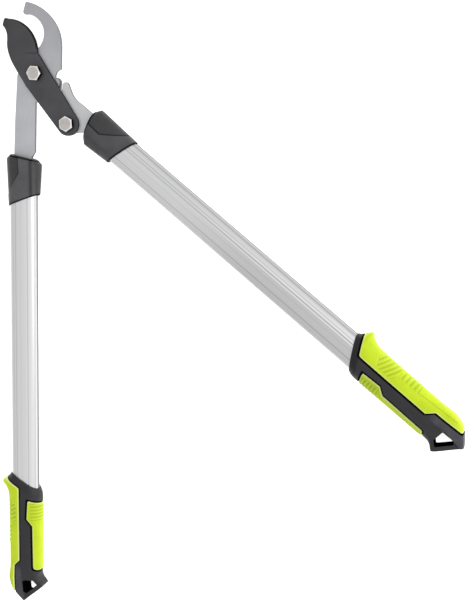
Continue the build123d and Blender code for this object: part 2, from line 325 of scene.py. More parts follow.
def satin_steel(name, low, high, turn=0.0, shade=None):
    """Light grey blasted steel with fine rolled streaks and faint blotches, painted shade on its upright
    walls and, where shade is given, painted shade growing along the drawing's Y.
    """
    made, nodes, links, shader = material(name)
    shader.inputs["Metallic"].default_value = 0.55
    streaks = noise(nodes, links, object_coordinates(nodes, links, (900, 40, 900), turn), 1.0, 5.0)
    cloud = noise(nodes, links, object_coordinates(nodes, links), 45.0, 3.0)
    grain = noise(nodes, links, object_coordinates(nodes, links), 2600.0, 2.0)
    mix = nodes.new("ShaderNodeMix")
    mix.inputs["Factor"].default_value = 0.6
    links.new(streaks, mix.inputs["A"])
    links.new(cloud, mix.inputs["B"])
    colour = ramp(nodes, links, mix.outputs["Result"], [(0.3, low), (0.7, high)])
    if shade:
        # painted shade: the plate grows darker towards the drawing's +Y
        along = drawing_place(nodes, links, "Y", *PLATE_PAINTED_SHADE_Y)
        colour = mixed(nodes, links, colour, grey(shade), along, "MULTIPLY")
    # painted shade on the steep upright walls
    colour = mixed(nodes, links, colour, STEEL_WALL_PAINTED_SHADE, steepness(nodes, links, 0.35, 0.8))
    links.new(colour, shader.inputs["Base Color"])
    links.new(spread(nodes, links, streaks, 0.36, 0.5), shader.inputs["Roughness"])
    bump(nodes, links, shader, grain, 0.00004, 0.25)
    return made


def coated_blade():
    """Satin black non-stick coat with an orange-peel grain and rub marks, a painted dark line of shade along
    the ground step, a painted sheen towards the drawing's -Y and painted shade on the rim.
    """
    made, nodes, links, shader = material("blade_coat")
    where = object_coordinates(nodes, links)
    cloud = noise(nodes, links, where, 30.0, 4.0)
    grain = noise(nodes, links, where, 1800.0, 3.0)
    colours = [(0.3, (0.036, 0.036, 0.039)), (0.72, (0.056, 0.056, 0.060))]
    colour = ramp(nodes, links, cloud, colours)
    # painted shade: a dark line across the coat along the ground step
    above = drawing_place(nodes, links, "Y", *BLADE_STEP_LOWER_Y)
    below = drawing_place(nodes, links, "Y", *BLADE_STEP_UPPER_Y)
    painted_line = nodes.new("ShaderNodeMath")
    painted_line.operation = "MULTIPLY"
    links.new(above, painted_line.inputs[0])
    links.new(below, painted_line.inputs[1])
    reach = nodes.new("ShaderNodeMath")
    reach.operation = "MULTIPLY"
    links.new(painted_line.outputs["Value"], reach.inputs[0])
    links.new(drawing_place(nodes, links, "X", *BLADE_STEP_X), reach.inputs[1])
    colour = mixed(nodes, links, colour, BLADE_STEP_PAINTED_SHADE, reach.outputs["Value"])
    # painted sheen: the coat is lighter towards the drawing's -Y
    painted_sheen = drawing_place(nodes, links, "Y", *BLADE_PAINTED_SHEEN_Y)
    colour = mixed(nodes, links, colour, BLADE_PAINTED_SHEEN, painted_sheen, "MULTIPLY")
    # painted shade on the steep rim faces, with less gloss
    painted_rim_shade = steepness(nodes, links, 0.7, 0.97)
    colour = mixed(nodes, links, colour, BLADE_RIM_PAINTED_SHADE, painted_rim_shade)
    links.new(colour, shader.inputs["Base Color"])
    links.new(spread(nodes, links, painted_rim_shade, 0.55, 0.12), shader.inputs["Specular IOR Level"])
    links.new(spread(nodes, links, cloud, 0.36, 0.5), shader.inputs["Roughness"])
    bump(nodes, links, shader, grain, 0.00005, 0.35)
    return made


def bolt_plating():
    """Warm zinc plating with machining scratches, a painted highlight on the turned corners and painted shade
    on the upright sides.
    """
    made, nodes, links, shader = material("bolt_plating")
    shader.inputs["Metallic"].default_value = 1.0
    where = object_coordinates(nodes, links)
    scratches = noise(nodes, links, object_coordinates(nodes, links, (1500, 200, 1500), 0.7), 1.0, 5.0)
    cloud = noise(nodes, links, where, 140.0, 4.0)
    colours = [(0.25, (0.62, 0.58, 0.545)), (0.75, (0.78, 0.735, 0.70))]
    colour = ramp(nodes, links, cloud, colours)
    # painted highlight on the gently sloping corner faces
    colour = mixed(nodes, links, colour, BOLT_CORNER_PAINTED_HIGHLIGHT, steepness(nodes, links, 0.92, 0.985))
    # painted shade on the upright sides
    colour = mixed(nodes, links, colour, BOLT_SIDE_PAINTED_SHADE, steepness(nodes, links, 0.2, 0.6))
    links.new(colour, shader.inputs["Base Color"])
    links.new(spread(nodes, links, scratches, 0.3, 0.5), shader.inputs["Roughness"])
    bump(nodes, links, shader, scratches, 0.00004, 0.3)
    return made


def anodised(side, painted_flank_shade):
    """Satin anodised aluminium with drawing lines along the tube; painted shade on the flanks, on the
    steepest walls and where the shading value is low, and painted reflection lines where it is high.
    """
    made, nodes, links, shader = material(f"anodised_{side}")
    shader.inputs["Metallic"].default_value = 0.95
    lines = noise(nodes, links, object_coordinates(nodes, links, (1600, 3, 1600), TURN[side]), 1.0, 4.0)
    cloud = noise(nodes, links, object_coordinates(nodes, links, (30, 5, 30), TURN[side]), 1.0, 3.0)
    colours = [(0.25, (0.86, 0.86, 0.87)), (0.75, (0.95, 0.95, 0.96))]
    colour = ramp(nodes, links, lines, colours)
    # painted shade on the flanks, darker on the right tube's copy
    colour = mixed(nodes, links, colour, grey(painted_flank_shade), steepness(nodes, links, 0.65, 0.95), "MULTIPLY")
    # painted shade on the steepest walls
    colour = mixed(nodes, links, colour, TUBE_SIDE_PAINTED_SHADE, steepness(nodes, links, 0.04, 0.4))
    # painted shade in the grooves and along the right tube
    colour = mixed(nodes, links, colour, TUBE_PAINTED_SHADE_GREY, painted_shading_value(nodes, links, NEUTRAL, 0.0), "MULTIPLY")
    # painted reflection lines
    colour = mixed(nodes, links, colour, TUBE_PAINTED_REFLECTION, painted_shading_value(nodes, links, NEUTRAL, 0.9))
    links.new(colour, shader.inputs["Base Color"])
    links.new(spread(nodes, links, cloud, 0.26, 0.36), shader.inputs["Roughness"])
    bump(nodes, links, shader, lines, 0.00003, 0.3)
    return made


def moulded_plastic(name, dark, light):
    """Charcoal plastic with a fine spark-eroded grain and slight scuffs, painted light where the shading
    value is high, and painted shade, with less gloss, on steep walls and where it is low.
    """
    made, nodes, links, shader = material(name)
    where = object_coordinates(nodes, links)
    grain = noise(nodes, links, where, 1500.0, 3.0)
    scuffs = noise(nodes, links, where, 60.0, 5.0, 0.65)
    colour = ramp(nodes, links, scuffs, [(0.3, dark), (0.75, light)])
    # painted light where the shading value is high
    colour = mixed(nodes, links, colour, PLASTIC_PAINTED_LIGHT, painted_shading_value(nodes, links, NEUTRAL, 1.0), "MULTIPLY")
    # painted shade on steep walls and where the shading value is low
    painted_shade_amount = nodes.new("ShaderNodeMath")
    painted_shade_amount.operation = "MAXIMUM"
    links.new(spread(nodes, links, steepness(nodes, links, 0.05, 0.4), 0.0, 0.3), painted_shade_amount.inputs[0])
    links.new(painted_shading_value(nodes, links, NEUTRAL, 0.0), painted_shade_amount.inputs[1])
    colour = mixed(nodes, links, colour, PLASTIC_PAINTED_SHADE, painted_shade_amount.outputs["Value"])
    links.new(colour, shader.inputs["Base Color"])
    links.new(spread(nodes, links, painted_shade_amount.outputs["Value"], 0.5, 0.0), shader.inputs["Specular IOR Level"])
    links.new(spread(nodes, links, scuffs, 0.38, 0.55), shader.inputs["Roughness"])
    bump(nodes, links, shader, grain, 0.00008, 0.4)
    return made


def green_rubber(name, tone):
    """Lime soft-touch rubber with a fine grain, a painted highlight on the rims and painted shade in the
    furrows; a tone below 1 darkens the copy for painted shade.
    """
    made, nodes, links, shader = material(name)
    where = object_coordinates(nodes, links)
    grain = noise(nodes, links, where, 1300.0, 3.0)
    cloud = noise(nodes, links, where, 50.0, 4.0)
    colours = [(0.3, (0.58, 0.77, 0.012)), (0.75, (0.70, 0.88, 0.020))]
    colour = ramp(nodes, links, cloud, colours)
    # painted highlight where the shading value is high
    colour = mixed(nodes, links, colour, GREEN_PAINTED_HIGHLIGHT, painted_shading_value(nodes, links, NEUTRAL, 1.0))
    # painted shade where the shading value is low
    colour = mixed(nodes, links, colour, GREEN_PAINTED_SHADE, painted_shading_value(nodes, links, NEUTRAL, 0.0))
    # painted shade: a tone below 1 darkens the whole copy
    hue = nodes.new("ShaderNodeHueSaturation")
    hue.inputs["Value"].default_value = tone
    links.new(colour, hue.inputs["Color"])
    links.new(hue.outputs["Color"], shader.inputs["Base Color"])
    shader.inputs["Specular IOR Level"].default_value = 0.3
    links.new(spread(nodes, links, cloud, 0.5, 0.66), shader.inputs["Roughness"])
    bump(nodes, links, shader, grain, 0.00008, 0.35)
    return made


plate_steel = satin_steel("plate_steel", (0.56, 0.565, 0.59), (0.66, 0.665, 0.69), shade=0.80)
arm_steel = satin_steel("arm_steel", (0.66, 0.67, 0.68), (0.75, 0.76, 0.77), turn=OPENING_ANGLE)
link_steel = satin_steel("link_steel", (0.42, 0.43, 0.44), (0.52, 0.53, 0.54), turn=0.3)
blade_coat = coated_blade()
plating = bolt_plating()
# each tube has its own copy with its own painted flank shade
tube_finish = {"left": anodised("left", 0.76), "right": anodised("right", 0.52)}
collar_plastic = moulded_plastic("collar_plastic", (0.028, 0.028, 0.030), (0.043, 0.043, 0.046))
grip_plastic = moulded_plastic("grip_plastic", (0.0145, 0.0142, 0.0175), (0.025, 0.0245, 0.029))
insert_plastic = moulded_plastic("insert_plastic", grey(0.02), grey(0.035))
lime = green_rubber("grip_green", 1.0)
# inner pads: copies darkened for painted shade, the right one more
inner_lime_painted_shade = {"left": green_rubber("inner_green_left", 0.9), "right": green_rubber("inner_green_right", 0.77)}
rivet_alloy = satin_steel("rivet_alloy", (0.5, 0.5, 0.5), (0.6, 0.6, 0.6))


def finish_piece(piece, skin, side, node):
    """Gives a piece its material, ties it to its body and hides the CAD node it replaces."""
    piece.data.materials.clear()
    piece.data.materials.append(skin)
    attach(piece, BODY[side])
    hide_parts(node)


# ---- CAD nodes that stay: new materials and softened edges -------------------------------------------
WELD_DISTANCE = 0.01 * MM
EDGE_STEPS = 3
SHARP_ANGLE = math.radians(28)


def dress_node(node, skin, edge_mm=0.0):
    """Gives a CAD node its material and, where a width is given, rounded edges."""
    thing = frame["nodes"][node]
    thing.data.materials.clear()
    thing.data.materials.append(skin)
    if edge_mm:
        weld = thing.modifiers.new("weld", "WELD")
        weld.merge_threshold = WELD_DISTANCE
        edge = thing.modifiers.new("edge", "BEVEL")
        edge.width = edge_mm * MM
        edge.segments = EDGE_STEPS
        edge.limit_method = "ANGLE"
        edge.angle_limit = SHARP_ANGLE


dress_node("hook_plate", plate_steel, edge_mm=0.35)
dress_node("right_arm", arm_steel, edge_mm=0.35)
dress_node("cutting_blade", blade_coat, edge_mm=1.5)
dress_node("power_link", link_steel, edge_mm=0.3)
for node in ("head_bolt", "tail_bolt", "head_lock_nut", "tail_lock_nut", "head_washer", "tail_washer"):
    dress_node(node, plating, edge_mm=0.2)
for node in ("ear_pin", "arm_pin"):
    dress_node(node, plating, edge_mm=0.15)
for side in SIDES:
    dress_node(f"{side}_tube_insert", insert_plastic)
    dress_node(f"{side}_rivets", rivet_alloy)


# ---- tubes: oval section with drawn grooves ----------------------------------------------------------
TUBE_WIDTH = 19.2                   # half the oval, in the plane of the tool
TUBE_DEPTH = 10.05                  # half the oval, upright
TUBE_WALL = 1.5
TUBE_START = 70.0
TUBE_END = 600.0
TUBE_POWER = 0.84                   # below 1: flatter faces than an ellipse
TUBE_COLUMNS = 480
TUBE_RINGS = 24
GROOVES = ((-9.0, 0.9), (0.2, 0.3), (7.3, 1.0), (10.8, 0.8))        # place, share of the depth
GROOVE_WIDTH = 0.85
GROOVE_DEPTH = 0.3
# painted shade in the grooves
GROOVE_PAINTED_SHADE = 0.3
# painted shade on the right tube, darker near the grip
TUBE_PAINTED_SHADE = {"left": (0.0, 0.0, 0.0), "right": (0.04, 0.2, 0.08)}   # at the head, near the grip, outside
SHADE_ALONG = (200.0, 345.0)        # u where the shade starts to grow and is full
SHADE_ACROSS = (11.5, 4.5)          # v where the outside's shade gives way to the other
# painted reflection lines along the right tube near the grip
PAINTED_REFLECTION_LINES = {"left": (), "right": ((6.1, 0.45), (9.9, 0.5))}      # place and lift
REFLECTION_LINE_WIDTH = 0.55


def tube_section():
    """Outer and inner outline of the tube, as v and w, and the painted shade in the outer one's grooves."""
    angle = np.linspace(0, 2 * math.pi, TUBE_COLUMNS, endpoint=False)
    v = TUBE_WIDTH * power(np.cos(angle), TUBE_POWER)
    w = TUBE_DEPTH * power(np.sin(angle), TUBE_POWER)
    dip = np.zeros(TUBE_COLUMNS)
    for groove, share in GROOVES:
        dip += share * GROOVE_DEPTH * np.exp(-(((v - groove) / GROOVE_WIDTH) ** 2) * 2)
    outer = (v, w - np.sign(w) * dip)
    inner = ((TUBE_WIDTH - TUBE_WALL) * np.cos(angle), (TUBE_DEPTH - TUBE_WALL) * np.sin(angle))
    return outer, inner, NEUTRAL - GROOVE_PAINTED_SHADE * dip / GROOVE_DEPTH


def tube_painted_shading(side, u, v, painted_shading):
    """Painted shading of one ring: the painted shade grows and the painted reflection lines brighten towards
    the grip.
    """
    head, grip, outside = TUBE_PAINTED_SHADE[side]
    near = smooth_step(*SHADE_ALONG, np.full_like(v, u))
    inner = smooth_step(*SHADE_ACROSS, v)
    painted_shading = painted_shading - (head + (grip - head) * near) * inner - outside * (1 - inner)
    for place, painted_lift in PAINTED_REFLECTION_LINES[side]:
        painted_line = near * np.exp(-(((v - place) / REFLECTION_LINE_WIDTH) ** 2))
        painted_shading = painted_shading + (NEUTRAL + painted_lift - painted_shading) * painted_line
    return painted_shading


def make_tube(side):
    outer, inner, painted_shading = tube_section()
    stations = np.linspace(TUBE_START, TUBE_END, TUBE_RINGS)
    rings = [handle_points(side, u, *outer) for u in stations]
    rings += [handle_points(side, u, *inner) for u in stations[::-1]]
    tube = ring_solid(f"{side}_tube_drawn", rings, looped=True)
    shown = [tube_painted_shading(side, u, outer[0], painted_shading) for u in stations]
    set_painted_shading(tube, np.concatenate(shown + [np.full(len(stations) * len(painted_shading), NEUTRAL)]))
    return tube


# ---- collars -----------------------------------------------------------------------------------------
COLLAR_OUT = ((50.0, 10.5), (56.5, 16.9), (61.4, 22.9), (66.0, 23.1), (130.0, 20.1))
COLLAR_IN = ((56.0, -11.0), (63.8, -19.9), (68.8, -24.9), (74.0, -24.8), (112.0, -22.3))
collar_depth = monotone_curve((56, 60, 66, 80, 124), (12.0, 13.0, 13.4, 13.2, 11.9))
COLLAR_TOP = (59.8, -0.2011)        # rim planes: distance at the axis, and slope against v
COLLAR_BOTTOM = (115.2, 0.37)
COLLAR_COLUMNS = 240
COLLAR_RINGS = 120
COLLAR_POWER = 0.93
COLLAR_ROUNDS = 6                   # enough for a sloping ring to settle
COLLAR_FIRST_RINGS = ((0.0, 0.6), (0.004, 0.2), (0.012, 0.0))        # share of the way, and inset
COLLAR_LAST_RINGS = ((0.993, 0.12), (1.0, 0.4))
COLLAR_SHARES = (0.022, 0.985)      # the rings between those
PAINTED_SHADE_LEVEL = 0.1                          # painted shading of rims and of the inside: painted shade
BORE_GAP = 0.1
TUBE_STOP_GAP = 0.2
SLOT = (12.5, 2.3, 0.3)             # round the arm: half width, half depth and power of its outline
CHEEK_LINE = ((58.0, 2.0), (64.0, 1.4), (80.5, 0.4), (95.0, 10.2), (113.0, 23.5))
CHEEK_STEP = 0.9
# painted shade along the cheek line, in the trough and on the rims
CHEEK_LINE_PAINTED_SHADE = 0.55
DENT_PAINTED_SHADE = 0.8
COLLAR_RIM_PAINTED_SHADE = 0.6
DENT = {"left": (-14.8, 2.3, 0.55), "right": (-12.0, 3.0, 0.12)}    # trough: place, half width, depth
# painted light on the collar's inner part, stronger on the left collar
INNER_PAINTED_LIGHT = {"left": 0.33, "right": 0.2}
INNER_PAINTED_LIGHT_ENDS = (-21.5, -17.0)


def interpolated(points, u):
    """Height at u of a line through points."""
    return np.interp(u, [p[0] for p in points], [p[1] for p in points])


def collar_ring(angle, share, inset=0.0):
    """u, v, w of a ring at a share of the way from the top rim to the bottom rim."""
    v = np.zeros_like(angle)
    for _ in range(COLLAR_ROUNDS):
        top = COLLAR_TOP[0] + COLLAR_TOP[1] * v
        bottom = COLLAR_BOTTOM[0] + COLLAR_BOTTOM[1] * v
        u = top + share * (bottom - top)
        out = interpolated(COLLAR_OUT, u) - inset
        inside = interpolated(COLLAR_IN, u) + inset
        depth = collar_depth(u) - inset
        v = (out + inside) / 2 + (out - inside) / 2 * power(np.cos(angle), COLLAR_POWER)
    w = depth * power(np.sin(angle), COLLAR_POWER)
    return u, v, w


def bore_outline(angle):
    """Outline of the hole that takes the tube, as v and w."""
    v = (TUBE_WIDTH + BORE_GAP) * power(np.cos(angle), TUBE_POWER)
    w = (TUBE_DEPTH + BORE_GAP) * power(np.sin(angle), TUBE_POWER)
    return v, w


def collar_painted_shading(side, share, v, across, dent):
    """Painted shading of one ring: painted shade on the rims, along the cheek line and in the trough, and
    painted light on the inner part.
    """
    painted_line = np.exp(-(((across - 0.3) / 0.7) ** 2))
    rim_painted_shade = smooth_step(0.045, 0.025, np.full_like(v, share))
    rim_painted_shade = rim_painted_shade + smooth_step(0.955, 0.975, np.full_like(v, share))
    painted_inner_light = INNER_PAINTED_LIGHT[side] * smooth_step(0.4, -0.6, across) * smooth_step(*INNER_PAINTED_LIGHT_ENDS, v)
    return NEUTRAL + painted_inner_light - DENT_PAINTED_SHADE * dent - CHEEK_LINE_PAINTED_SHADE * painted_line - COLLAR_RIM_PAINTED_SHADE * rim_painted_shade


def make_collar(side):
    """Sleeve with a stepped outer cheek and a trough; its skin runs on through the bore and the slot."""
    angle = np.linspace(0, 2 * math.pi, COLLAR_COLUMNS, endpoint=False)
    rings = []
    painted_shading = []
    for share, inset in COLLAR_FIRST_RINGS:
        rings.append(handle_points(side, *collar_ring(angle, share, inset)))
        painted_shading.append(np.full(COLLAR_COLUMNS, PAINTED_SHADE_LEVEL))
    place, half_width, depth = DENT[side]
    for share in np.linspace(*COLLAR_SHARES, COLLAR_RINGS):
        u, v, w = collar_ring(angle, share)
        across = v - interpolated(CHEEK_LINE, u)
        dent = depth * np.exp(-(((v - place) / half_width) ** 2))
        drop = CHEEK_STEP * smooth_step(-0.4, 0.8, across) + dent
        rings.append(handle_points(side, u, v, w - np.sign(w) * drop))
        painted_shading.append(collar_painted_shading(side, share, v, across, dent))
    for share, inset in COLLAR_LAST_RINGS:
        rings.append(handle_points(side, *collar_ring(angle, share, inset)))
        painted_shading.append(np.full(COLLAR_COLUMNS, PAINTED_SHADE_LEVEL))
    bore_v, bore_w = bore_outline(angle)
    rings.append(handle_points(side, COLLAR_BOTTOM[0] + COLLAR_BOTTOM[1] * bore_v, bore_v, bore_w))
    rings.append(handle_points(side, TUBE_START - TUBE_STOP_GAP, bore_v, bore_w))
    slot_v = SLOT[0] * power(np.cos(angle), SLOT[2])
    slot_w = SLOT[1] * power(np.sin(angle), SLOT[2])
    rings.append(handle_points(side, TUBE_START - TUBE_STOP_GAP, slot_v, slot_w))
    rings.append(handle_points(side, COLLAR_TOP[0] + COLLAR_TOP[1] * slot_v, slot_v, slot_w))
    painted_shading += [np.full(COLLAR_COLUMNS, PAINTED_SHADE_LEVEL)] * 4
    collar = ring_solid(f"{side}_collar_moulded", rings, looped=True)
    set_painted_shading(collar, np.concatenate(painted_shading))
    return collar


# ---- grips -------------------------------------------------------------------------------------------
grip_out = monotone_curve(
    (470, 480, 486, 490.5, 495, 500, 507, 520, 600, 620, 630, 640.4, 647, 655, 670),
    (16.5, 21.4, 28.2, 32.4, 28.6, 25.6, 23.3, 22.6, 22.1, 22.3, 20.6, 15.8, 9.6, 0.0, -20.0),
)
grip_in = monotone_curve(
    (490, 497.4, 503, 510, 560, 604, 611, 617, 622.4, 626, 629.5, 640),
    (-19.6, -21.6, -23.6, -24.3, -23.9, -23.7, -22.9, -23.2, -25.2, -28.5, -31.6, -41.0),
)
grip_depth = monotone_curve(
    (470, 484, 492, 505, 560, 600, 616, 634, 655),
    (11.9, 13.0, 14.2, 14.9, 15.0, 14.8, 13.8, 12.2, 11.4),
)
GRIP_RIM = (486.5, -0.5)            # sloping planes: u at the axis, and slope against v
GRIP_END = (655.0, 27.0 / 32.0)
PAD_RIM = (497.1, -0.5)
section_power = monotone_curve((470, 500, 604, 628, 670), (0.9, 0.9, 0.88, 0.4, 0.3))
GRIP_COLUMNS = 200
GRIP_RINGS = 230
OUTER_EDGE = ((480, 3.2), (595.7, 2.7), (604.2, 11.2), (645, 12.2), (660, 12.2))
INNER_EDGE = ((500, -9.8), (511.5, -9.6), (536.8, -8.2), (546.4, -15.6), (605.4, -16.4), (640, -16.8))
OUTER_PAD_END = (640.1, 0.2)
INNER_PAD_TOP = (509.0, -0.25)
INNER_PAD_END = (600.0, -0.42)
PAD_RISE = 0.35                     # a pad stands this much above the core
PAD_SINK = 1.4                      # its outline lies this much below
PAD_EDGE = 1.2                      # radius of its rounded rim
PAD_ROOT = -1.7                     # its inner skin
CORNER_BLEND = 0.9
RING_ROUNDS = 24                    # enough for a sloping ring to settle
PAD_ROUNDS = 10
CORE_FIRST_RINGS = ((0.0, -0.9), (0.0015, -0.35), (0.004, -0.1))     # share of the way, and rise
CORE_LAST_RINGS = ((0.997, -0.1), (1.0, -0.6))
CORE_SHARES = (0.008, 0.992)        # the rings between those
END_SCALES = (0.7, 0.35, 0.03)      # rings that close the end
BORE_SCALE = 0.02                   # ring that closes the bore
BORE_BOTTOM_GAP = 0.3
# painted shade on the grip's rim, stronger on the right grip
GRIP_RIM_PAINTED_SHADE = {"left": 0.05, "right": 0.2}
BASIN_LINE = ((597.0, 2.0), (650.0, -2.5))      # crease between the basin round the hole and the cheek
BASIN_DEPTH = 2.4
BASIN_ALONG = (602.0, 640.0)
CHEEK_ALONG = (599.0, 612.0)
CREASE_ALONG = (625, 640)
GROOVE_BESIDE_PAD = 1.0
DROP_UNDER_PAD = 0.9
# painted light on the end cheek, and painted shade in the crease
CHEEK_PAINTED_LIGHT = 0.42
CREASE_PAINTED_SHADE = 0.3
HANG_HOLE = ((624.8, -1.0), (623.0, -15.5), (629.3, -21.6), (643.8, -4.6), (640.0, -1.0))
HOLE_ROUNDING = 1.6
HOLE_REACH = 20.0
CORNER_STEPS = 5
SMOOTH_ANGLE = math.radians(40)


def grip_section(u, angle, rise=0.0):
    """v and w on the grip's surface, raised along its normal."""
    out = grip_out(u)
    inside = grip_in(u)
    half = (out - inside) / 2
    depth = grip_depth(u)
    v = (out + inside) / 2 + half * power(np.cos(angle), section_power(u))
    w = depth * power(np.sin(angle), section_power(u))
    normal_v = np.cos(angle) / half
    normal_w = np.sin(angle) / depth
    length = np.hypot(normal_v, normal_w)
    return v + rise * normal_v / length, w + rise * normal_w / length


def plane_at(plane, v):
    """u of a sloping plane at v."""
    return plane[0] + plane[1] * v


def soft_minimum(a, b):
    """The smaller of two distances, rounded where they are alike."""
    low = np.minimum(a, b)
    return low - CORNER_BLEND * np.log1p(np.exp(-np.abs(a - b) / CORNER_BLEND))


def outer_pad_depth(u, v):
    """Distance inside the outer pad's outline; negative outside it."""
    across = v - interpolated(OUTER_EDGE, u)
    down = (u - plane_at(PAD_RIM, v)) / math.hypot(1, PAD_RIM[1])
    short = plane_at(OUTER_PAD_END, v) - u
    return soft_minimum(soft_minimum(across, down), short)


def inner_pad_depth(u, v):
    """Distance inside the inner pad's outline; negative outside it."""
    across = interpolated(INNER_EDGE, u) - v
    down = u - plane_at(INNER_PAD_TOP, v)
    short = plane_at(INNER_PAD_END, v) - u
    return soft_minimum(soft_minimum(across, down), short)


def basin(u, v):
    """The hollow round the hanging hole, bounded by a straight crease."""
    beside = smooth_step(0.5, -0.7, v - interpolated(BASIN_LINE, u))
    return beside * smooth_step(*BASIN_ALONG, u)


def core_rise(u, v):
    """The core has a groove beside each pad, lies lower under it and is hollowed round the hole."""
    inside = np.maximum(outer_pad_depth(u, v), inner_pad_depth(u, v))
    groove = GROOVE_BESIDE_PAD * smooth_step(-1.6, -0.8, inside)
    groove = groove + DROP_UNDER_PAD * smooth_step(0.2, 1.0, inside)
    return -groove - BASIN_DEPTH * basin(u, v)


def core_painted_shading(side, u, v):
    """Painted light on the core's end cheek, and painted shade along the pads, in the crease and on the rim.
    """
    inside = np.maximum(outer_pad_depth(u, v), inner_pad_depth(u, v))
    off_crease = v - interpolated(BASIN_LINE, u)
    cheek = smooth_step(*CHEEK_ALONG, u) * smooth_step(-0.6, 0.6, off_crease)
    crease_painted_shade = np.exp(-((off_crease / 0.5) ** 2)) * smooth_step(*CREASE_ALONG, u)
    painted_rim_shade = smooth_step(2.0, -2.0, u - plane_at(PAD_RIM, v)) * GRIP_RIM_PAINTED_SHADE[side]
    shade_beside_pad = smooth_step(-2.8, -1.8, inside)
    painted_lift = CHEEK_PAINTED_LIGHT * cheek * (1 - shade_beside_pad)
    return NEUTRAL + painted_lift - NEUTRAL * shade_beside_pad - CREASE_PAINTED_SHADE * crease_painted_shade - painted_rim_shade


def grip_ring(angle, share):
    """u, v, w of a ring at a share of the way from the grip's rim to its end."""
    v = np.zeros_like(angle)
    for _ in range(RING_ROUNDS):
        start = plane_at(GRIP_RIM, v)
        end = plane_at(GRIP_END, v)
        u = start + share * (end - start)
        reached, w = grip_section(u, angle)
        v = (v + reached) / 2
    return u, v, w


def rounded_outline(corners, radius):
    """Closed outline with rounded corners."""
    points = []
    count = len(corners)
    for i in range(count):
        here = np.array(corners[i], float)
        before = np.array(corners[i - 1], float) - here
        after = np.array(corners[(i + 1) % count], float) - here
        before /= np.linalg.norm(before)
        after /= np.linalg.norm(after)
        half = math.acos(np.clip(before @ after, -1, 1)) / 2
        reach = radius / math.tan(half)
        start = here + before * reach
        end = here + after * reach
        for t in np.linspace(0, 1, CORNER_STEPS):
            points.append((1 - t) ** 2 * start + 2 * t * (1 - t) * here + t * t * end)
    return np.array(points)


def cut_hang_hole(side, core):
    """Cuts the hanging hole through a grip's core and rounds the shading of what is left."""
    outline = rounded_outline(HANG_HOLE, HOLE_ROUNDING)
    levels = (-HOLE_REACH, HOLE_REACH)
    cutter = ring_solid(
        f"{side}_hole_cutter", [handle_points(side, outline[:, 0], outline[:, 1], level) for level in levels]
    )
    cut = core.modifiers.new("hang_hole", "BOOLEAN")
    cut.operation = "DIFFERENCE"
    cut.solver = "EXACT"
    cut.object = cutter
    apply_modifiers(core)
    bpy.data.objects.remove(cutter)
    for polygon in core.data.polygons:
        polygon.use_smooth = True
    core.data.set_sharp_from_angle(angle=SMOOTH_ANGLE)


def make_core(side):
    """Grip core: a skin from the bottom of the tube's bore, over the rim and along the outside to the end."""
    angle = np.linspace(0, 2 * math.pi, GRIP_COLUMNS, endpoint=False)
    bore_v, bore_w = bore_outline(angle)
    bore_end = TUBE_END + BORE_BOTTOM_GAP
    rings = [
        handle_points(side, bore_end, bore_v * BORE_SCALE, bore_w * BORE_SCALE),
        handle_points(side, bore_end, bore_v, bore_w),
        handle_points(side, plane_at(GRIP_RIM, bore_v), bore_v, bore_w),
    ]
    plain = np.full(GRIP_COLUMNS, NEUTRAL)
    painted_shading = [np.full(GRIP_COLUMNS, PAINTED_SHADE_LEVEL)] * 3 + [plain] * 3
    for share, rise in CORE_FIRST_RINGS:
        u = grip_ring(angle, share)[0]
        v, w = grip_section(u, angle, rise)
        rings.append(handle_points(side, u, v, w))
    for share in np.linspace(*CORE_SHARES, GRIP_RINGS):
        u, v, w = grip_ring(angle, share)
        painted_shading.append(core_painted_shading(side, u, v))
        v, w = grip_section(u, angle, core_rise(u, v))
        rings.append(handle_points(side, u, v, w))
    for share, rise in CORE_LAST_RINGS:
        u, v, w = grip_ring(angle, share)
        v, w = grip_section(u, angle, rise - BASIN_DEPTH * basin(u, v))
        rings.append(handle_points(side, u, v, w))
        painted_shading.append(plain)
    painted_shading += [plain] * 3
    u, v, w = grip_ring(angle, 1.0)
    middle = (u.mean(), v.mean(), w.mean())
    for scale in END_SCALES:
        rings.append(handle_points(
            side, middle[0] + (u - middle[0]) * scale, middle[1] + (v - middle[1]) * scale, w * scale,
        ))
    core = ring_solid(f"{side}_grip_core_moulded", rings)
    set_painted_shading(core, np.concatenate(painted_shading))
    cut_hang_hole(side, core)
    return core


# ---- green pads --------------------------------------------------------------------------------------
RIB_HEIGHT = 0.8
RIB_FLATNESS = 1.3                  # above 1: flat tops
RIB_PAINTED_HIGHLIGHT = 0.03                     # painted highlight on a rib and painted shade in a furrow
FURROW_PAINTED_SHADE = 0.22
RIB_SLANT = 0.6                     # the slanted ribs' lean, u against v
FRAME_SLANT = 0.55                  # lean of the frame's edge before them
FRAME_PLACE = 522.8                 # where that edge meets the axis
SLANTED_RIBS = (503.9, 5.9)         # first one and spacing
SHORT_LEAN = 0.1
SHORT_RIBS = (545.3, 6.1)
INNER_RIBS = (517.3, 4.7)
FOLD = (571, 15.2, 0.053)           # crease behind the ribs: u, v there, and slope
FOLD_DROP = 0.3
# painted shade along the fold, and a painted highlight along the frame's edge
FOLD_PAINTED_SHADE = 0.3
FRAME_PAINTED_HIGHLIGHT = 0.1
